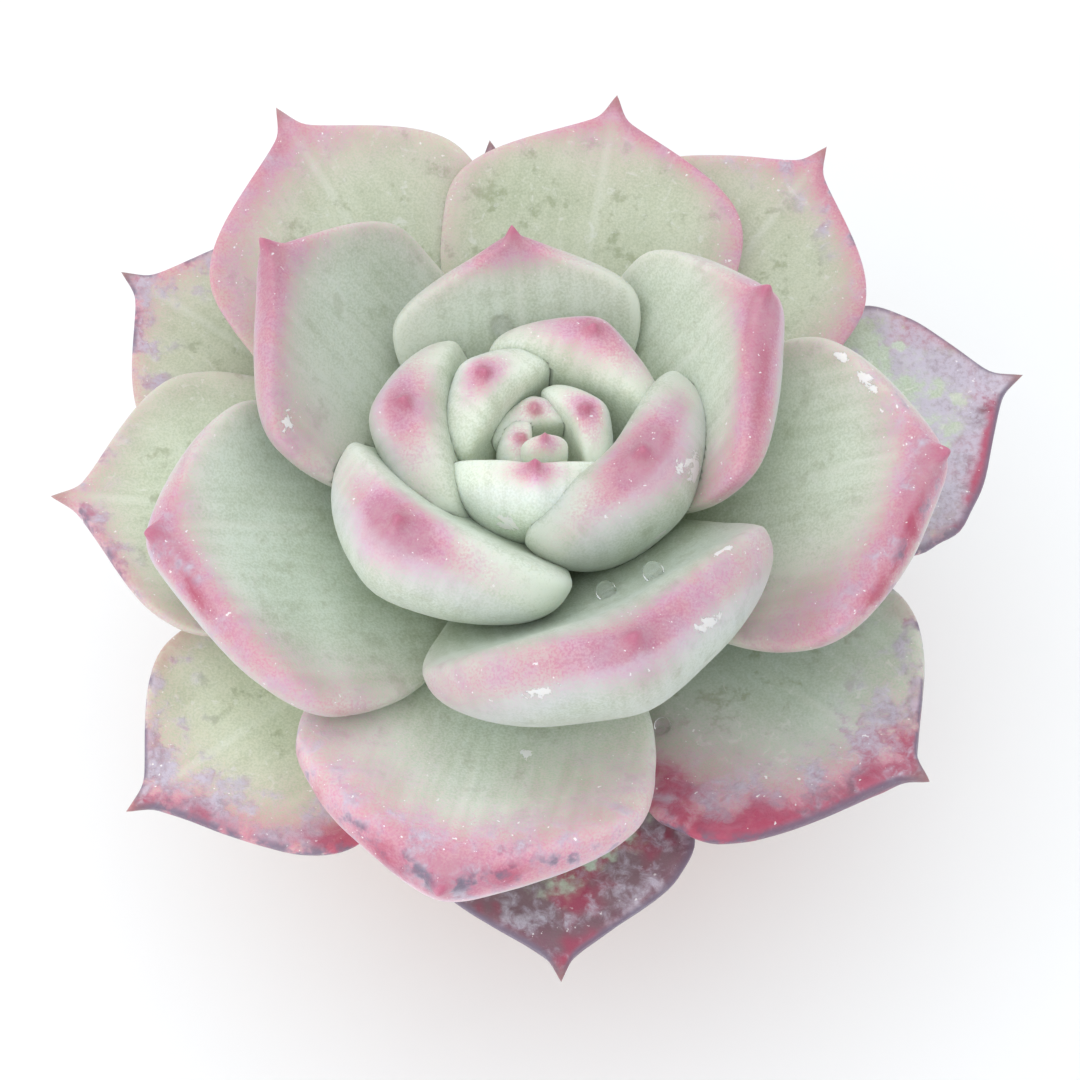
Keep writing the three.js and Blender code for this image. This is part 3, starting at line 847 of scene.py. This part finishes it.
def leaf_mesh(row):
    """A leaf's bmesh, shaped from a sphere whose poles are its base and its tip.

    It carries, for the leaf skin: margin (mm from the margin, mm from the point, 1 underneath), tint (pink,
    worn, scar), grain (mm across, mm along, 1 down in the hollow, where shade is painted), tone (tone,
    frost, crimson) and shade (how much paler or darker it is painted, partly its wax and partly painted
    light and shade).
    """
    blade = Blade(row)
    leaf, skin, form = blade.leaf, blade.skin, blade.form
    group = leaf.name.split("_")[0]
    pink = PINKS[group]
    around = 2 * int(form.around * FINENESS[group] / 2)
    along = int(form.along * FINENESS[group])
    bm = bmesh.new()
    bmesh.ops.create_uvsphere(bm, u_segments=around, v_segments=along, radius=1.0)
    bm.faces.layers.int.new("pressed")
    margin = bm.verts.layers.float_vector.new("margin")
    tint = bm.verts.layers.float_vector.new("tint")
    grain = bm.verts.layers.float_vector.new("grain")
    tone = bm.verts.layers.float_vector.new("tone")
    shade = bm.verts.layers.float_vector.new("shade")
    for vert in bm.verts:
        share = min(1.0, max(0.0, (1 + vert.co.z) / 2))
        reach = hypot(vert.co.x, vert.co.y)
        on_the_axis = reach < 1e-6
        left = 0.0 if on_the_axis else vert.co.x / reach
        upper = 0.0 if on_the_axis else vert.co.y / reach
        place, across, half, section = blade.at(share, left, upper)
        vert.co = place * MM
        to_tip = (1 - share) * leaf.length
        away = hypot(to_tip, across, section)
        edge = hypot(half * (1 - abs(left)), 0.8 * section)
        under = smooth_step(-upper, -0.1, 0.6)
        below = copysign(edge, -upper) - pink.line + skin.inset
        width = pink.below if below > 0 else (pink.above + pink.line) * skin.spread
        fade = exp(-((away / pink.reach) ** 1.5)) * (0.15 + 0.85 * smooth_step(share, 0.25, 0.7))
        band = exp(-((abs(below) / width) ** 1.35)) * fade
        leaning = 1 + skin.lean * copysign(min(1.0, abs(left) * 1.5), left)
        spot = exp(-((away / pink.spot) ** 2))
        reach_in = exp(-((edge / 8.0) ** 2)) * smooth_step(share, 0.40, 0.85) * (0.5 + 0.5 * leaning)
        worn = min(1.1, skin.wear * (0.7 * reach_in + 0.5 * exp(-((away / 15.0) ** 2))))
        vert[margin] = (edge, away, under)
        blush = skin.blush * (0.95 * band * leaning + pink.tip * spot)
        vert[tint] = (blush, worn, scar_field(leaf, upper, left, share, half))
        # the third part, 1 down in the hollow at the leaf base, is where the skin paints shade
        vert[grain] = (across, share * leaf.length, 1 - smooth_step(share, 0.15, 0.62))
        reddest = below - 0.6 * skin.inset
        core = exp(-((reddest / (pink.core * min(2.4, skin.spread))) ** 2)) * fade * max(0.0, leaning)
        core *= skin.red * smooth_step(away, 2.0, 8.0)
        vert[tone] = (skin.tone, skin.frost, core)
        # shade: the leaf's paleness all over, partly its wax and partly painted light and shade
        vert[shade] = (1 + skin.pale * (1 - 0.8 * min(1.0, band)), 0, 0)
    return bm


def presser(piece, seat_name):
    """A copy of a leaf, offset by the contact gap, that the older leaves are cut by."""
    bm = bmesh.new()
    bm.from_mesh(piece.data)
    bm.normal_update()
    pressed = bm.faces.layers.int["pressed"]
    for face in bm.faces:
        face[pressed] = 1
    for vert in bm.verts:
        vert.co += vert.normal * CONTACT_GAP * MM
    return object_from(bm, seat_name)


def sharpen_contact(piece):
    """Marks the edges where a younger leaf's hollow begins as sharp, and the rest of the leaf as smooth."""
    bm = bmesh.new()
    bm.from_mesh(piece.data)
    pressed = bm.faces.layers.int["pressed"]
    for face in bm.faces:
        face.smooth = True
    for edge in bm.edges:
        edge.smooth = len({face[pressed] for face in edge.link_faces}) < 2
    bm.to_mesh(piece.data)
    bm.free()


PRESSERS = {}


def overlap(first, second):
    """Whether the boxes round two objects overlap."""
    for ones, others in zip(zip(*first.bound_box), zip(*second.bound_box)):
        if min(ones) >= max(others) or min(others) >= max(ones):
            return False
    return True


def build_leaves(group, age):
    material = leaf_finish(f"{group} leaf skin", age)
    for row in reversed(range(len(LEAVES))):
        leaf = LEAVES[row]
        if not leaf.name.startswith(group):
            continue
        piece = object_from(leaf_mesh(row), f"{leaf.name}_flesh", material)
        pressing = presser(piece, f"{leaf.name}_presser")
        younger = [other for other in PRESSERS.values() if overlap(piece, other)]
        if younger:
            cut(piece, younger, f"{leaf.name}_flesh")
            sharpen_contact(piece)
        PRESSERS[leaf.name] = pressing
        bpy.context.scene.collection.objects.unlink(pressing)
        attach(piece, BODY)
        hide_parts(leaf.name)


class OBJECT_OT_heart_leaves(bpy.types.Operator):
    """Build the small leaves round the growing point"""

    bl_idname = "object.succulent_heart_leaves"
    bl_label = "Heart leaves"

    def execute(self, context):
        build_leaves("heart", 0.0)
        return {"FINISHED"}


class OBJECT_OT_inner_leaves(bpy.types.Operator):
    """Build the upright leaves round the heart"""

    bl_idname = "object.succulent_inner_leaves"
    bl_label = "Inner leaves"

    def execute(self, context):
        build_leaves("inner", 0.15)
        return {"FINISHED"}


class OBJECT_OT_middle_leaves(bpy.types.Operator):
    """Build the broad, full-grown leaves"""

    bl_idname = "object.succulent_middle_leaves"
    bl_label = "Middle leaves"

    def execute(self, context):
        build_leaves("middle", 0.3)
        return {"FINISHED"}


class OBJECT_OT_outer_leaves(bpy.types.Operator):
    """Build the oldest leaves, and let go of the copies that pressed them"""

    bl_idname = "object.succulent_outer_leaves"
    bl_label = "Outer leaves"

    def execute(self, context):
        build_leaves("outer", 0.8)
        for pressing in PRESSERS.values():
            mesh = pressing.data
            bpy.data.objects.remove(pressing)
            bpy.data.meshes.remove(mesh)
        PRESSERS.clear()
        return {"FINISHED"}


# ---- Water drops, stem, soil and pot --------------------------------------------------------


class OBJECT_OT_drops(bpy.types.Operator):
    """Build the water drops caught between the leaves"""

    bl_idname = "object.succulent_drops"
    bl_label = "Water drops"

    def execute(self, context):
        water = water_finish()
        sag = 0.86  # its height, as a share of its width
        sits = 0.75  # its middle above the leaf, as a share of its radius
        for number, drop in enumerate(DROPS, 1):
            row = [leaf.name for leaf in LEAVES].index(drop.leaf)
            around = radians(drop.around)
            place, *_ = Blade(row).at(drop.along, cos(around), sin(around))
            bm = bmesh.new()
            bmesh.ops.create_icosphere(bm, subdivisions=4, radius=drop.radius * MM)
            bmesh.ops.scale(bm, vec=(1.0, 1.0, sag), verts=bm.verts)
            raised = Vector((0, 0, sits * drop.radius * MM))
            bmesh.ops.translate(bm, vec=place * MM + raised, verts=bm.verts)
            piece = object_from(bm, f"water_drop_{number}", water)
            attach(piece, BODY)
        return {"FINISHED"}


class OBJECT_OT_stem(bpy.types.Operator):
    """Build the short stem with its ring of old leaf scars"""

    bl_idname = "object.succulent_stem"
    bl_label = "Stem"

    def execute(self, context):
        low = STEM_LOW[2]
        high = STEM_HIGH[2]
        widest = STEM_HIGH[0]
        foot = widest * 0.78
        crown = CROWN_LEVEL * MM
        profile = rounded(
            [
                (0.0, low),
                (foot * 0.6, low),
                (foot, low + 0.004),
                (foot, crown - 0.003),
                (widest, crown + 0.003),
                (widest * 0.86, crown + 0.009),
                (widest * 0.31, high - 0.0015),
                (0.0, high),
            ],
            0.0015,
        )
        bm = lathe(profile, 64)
        long_edges = [edge for edge in bm.edges if edge.calc_length() > 0.003]
        bmesh.ops.subdivide_edges(bm, edges=long_edges, cuts=3, use_grid_fill=True)
        scar_height = 0.0028
        scars_around = 5
        for vert in bm.verts:
            around = atan2(vert.co.y, vert.co.x)
            radius = hypot(vert.co.x, vert.co.y)
            # old leaf scars: low lens-shaped pads in a spiral
            level = (vert.co.z - SOIL_HIGH[2]) / scar_height
            phase = scars_around * around / (2 * pi) + 0.5 * (int(level) % 2)
            pad = max(0.0, cos(2 * pi * phase)) * max(0.0, sin(pi * (level % 1.0)))
            swell = 1 + 0.05 * pad + 0.03 * noise.noise(vert.co * 400)
            if radius > 1e-5:
                vert.co.x *= swell
                vert.co.y *= swell
        piece = object_from(bm, "stem_bark", bark_finish())
        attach(piece, BODY)
        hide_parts("stem")
        return {"FINISHED"}


def side_radius(level):
    """The pot's outer radius at a height above its base, below the rim band."""
    pot = settings().pot
    return pot.foot_radius + (POT_HIGH[0] - pot.rim_step - pot.foot_radius) * level / POT_HIGH[2]


class OBJECT_OT_soil(bpy.types.Operator):
    """Build the potting mix, and the grit lying on it"""

    bl_idname = "object.succulent_soil"
    bl_label = "Soil"

    def execute(self, context):
        pot = settings().pot
        top = SOIL_HIGH[2] - SOIL_CRUMBS
        low = SOIL_LOW[2]
        edge = SOIL_HIGH[0] - 0.0002
        rings = 40
        surface = [(edge * (1 - i / rings), top) for i in range(1, rings)]
        foot = side_radius(low) - pot.wall - 0.0006
        profile = [(0.0, low), (foot, low), (edge, top - 0.001), *surface, (0.0, top)]
        bm = lathe(profile, 96)
        for vert in bm.verts:
            if vert.co.z > top - 0.0005:
                vert.co.z += 0.0008 * noise.noise(vert.co * 260) + 0.0004 * noise.noise(vert.co * 900)
        piece = object_from(bm, "potting_mix", soil_finish())
        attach(piece, BODY)
        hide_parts("soil")

        rng = random.Random(GRIT_SEED)
        noise.seed_set(GRIT_SEED)
        for name, dark, pale, count in GRITS:
            bm = bmesh.new()
            for _ in range(count):
                radius = sqrt(rng.uniform(0.05, 0.98)) * (edge - 0.002)
                angle = rng.uniform(0, 2 * pi)
                size = rng.uniform(0.0007, 0.0017)
                tumble = rng.uniform(0, pi)
                axis = Vector((rng.random(), rng.random(), 0.3)).normalized()
                turn = Matrix.Rotation(tumble, 4, axis)
                breadth = size * rng.uniform(0.6, 0.95)
                height = size * rng.uniform(0.5, 0.8)
                shape = Matrix.Diagonal((size, breadth, height, 1))
                place = Matrix.Translation((radius * cos(angle), radius * sin(angle), top + 0.2 * size))
                lie = place @ turn @ shape
                made = bmesh.ops.create_icosphere(bm, subdivisions=1, radius=1.0, matrix=lie)
                for vert in made["verts"]:
                    vert.co += 0.25 * size * noise.noise_vector(vert.co * 900)
            grit = object_from(bm, name, grit_finish(name.replace("_", " "), dark, pale), smooth=False)
            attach(grit, BODY)
        return {"FINISHED"}


class OBJECT_OT_pot(bpy.types.Operator):
    """Build the clay pot with its rim and drain holes"""

    bl_idname = "object.succulent_pot"
    bl_label = "Pot"

    def execute(self, context):
        pot = settings().pot
        height = POT_HIGH[2]
        rim = POT_HIGH[0]
        rim_foot = height - pot.rim_height
        inner = side_radius(height) - pot.wall
        profile = rounded(
            [
                (0.0, 0.0),
                (pot.foot_radius, 0.0),
                (side_radius(rim_foot), rim_foot),
                (rim, rim_foot),
                (rim, height),
                (inner, height),
                (side_radius(pot.floor) - pot.wall, pot.floor),
                (0.0, pot.floor),
            ],
            0.0016,
        )
        piece = object_from(lathe(profile, 128), "clay_pot", clay_finish())
        holes = []
        drains = 3
        for i in range(drains):
            angle = 2 * pi * (i + 0.5) / drains
            bm = bmesh.new()
            place = Matrix.Translation((pot.drain_ring * cos(angle), pot.drain_ring * sin(angle), 0))
            bmesh.ops.create_cone(
                bm,
                cap_ends=True,
                segments=32,
                radius1=pot.drain_radius,
                radius2=pot.drain_radius,
                depth=3 * pot.floor,
                matrix=place,
            )
            hole = object_from(bm, f"drain_{i}")
            bpy.context.scene.collection.objects.unlink(hole)
            holes.append(hole)
        cut(piece, holes, "clay_pot")
        for hole in holes:
            bpy.data.objects.remove(hole)
        piece.data.polygons.foreach_set("use_smooth", [True] * len(piece.data.polygons))
        piece.data.set_sharp_from_angle(angle=radians(40))
        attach(piece, BODY)
        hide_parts("pot")
        return {"FINISHED"}


# ---- Stage ----------------------------------------------------------------------------------


class OBJECT_OT_stage(bpy.types.Operator):
    """Set up the floor, the soft lights and the camera"""

    bl_idname = "object.succulent_stage"
    bl_label = "Stage"

    def execute(self, context):
        form = settings().stage
        scene = context.scene
        bm = bmesh.new()
        bmesh.ops.create_circle(bm, cap_ends=True, segments=96, radius=4.0)
        floor = object_from(bm, "floor", floor_finish(), smooth=False)

        world = bpy.data.worlds.new("soft sky")
        world.use_nodes = True
        sky = world.node_tree.nodes["Background"]
        sky.inputs["Color"].default_value = SKY_COLOUR
        sky.inputs["Strength"].default_value = SKY_STRENGTH
        scene.world = world
        scene.view_settings.view_transform = "Standard"

        for name, place, size, power in LAMPS:
            lamp = bpy.data.lights.new(name, "AREA")
            lamp.size = size
            lamp.energy = power
            holder = bpy.data.objects.new(name, lamp)
            scene.collection.objects.link(holder)
            holder.location = place
            holder.rotation_euler = (Vector(place) - LAMP_TARGET).to_track_quat("Z", "Y").to_euler()

        lens = bpy.data.cameras.new("camera")
        lens.lens = form.lens
        lens.sensor_width = 36.0
        lens.clip_start = 0.01
        camera = bpy.data.objects.new("camera", lens)
        scene.collection.objects.link(camera)
        forward = Vector((0, cos(form.elevation), -sin(form.elevation)))
        right = Vector((1, 0, 0))
        upward = Vector((0, sin(form.elevation), cos(form.elevation)))
        camera.location = HEART - form.distance * forward - CAMERA_ASIDE * right - CAMERA_BELOW * upward
        camera.rotation_euler = (pi / 2 - form.elevation, 0, 0)
        scene.camera = camera
        return {"FINISHED"}


# ---- Add-on ---------------------------------------------------------------------------------


class SucculentSettings(bpy.types.PropertyGroup):
    """Everything that a user would change."""

    leaf_form: PointerProperty(type=LeafForm)
    leaf_colours: PointerProperty(type=LeafColours)
    pot: PointerProperty(type=PotForm)
    stage: PointerProperty(type=StageForm)


OPERATORS = [
    OBJECT_OT_stage,
    OBJECT_OT_heart_leaves,
    OBJECT_OT_inner_leaves,
    OBJECT_OT_middle_leaves,
    OBJECT_OT_outer_leaves,
    OBJECT_OT_drops,
    OBJECT_OT_stem,
    OBJECT_OT_soil,
    OBJECT_OT_pot,
]


class VIEW3D_PT_succulent(bpy.types.Panel):
    """Lists the pieces in the order they are built"""

    bl_label = "Succulent"
    bl_idname = "VIEW3D_PT_succulent"
    bl_space_type = "VIEW_3D"
    bl_region_type = "UI"
    bl_category = "Succulent"

    def draw(self, context):
        for operator in OPERATORS:
            self.layout.operator(operator.bl_idname)


CLASSES = [LeafForm, LeafColours, PotForm, StageForm, SucculentSettings, *OPERATORS, VIEW3D_PT_succulent]


def register():
    for cls in CLASSES:
        bpy.utils.register_class(cls)
    bpy.types.Scene.succulent = PointerProperty(type=SucculentSettings)


def unregister():
    del bpy.types.Scene.succulent
    for cls in reversed(CLASSES):
        bpy.utils.unregister_class(cls)


def main():
    register()
    bpy.ops.object.succulent_stage()
    bpy.ops.object.succulent_heart_leaves()
    bpy.ops.object.succulent_inner_leaves()
    bpy.ops.object.succulent_middle_leaves()
    bpy.ops.object.succulent_outer_leaves()
    bpy.ops.object.succulent_drops()
    bpy.ops.object.succulent_stem()
    bpy.ops.object.succulent_soil()
    bpy.ops.object.succulent_pot()


if __name__ == "__main__":
    main()
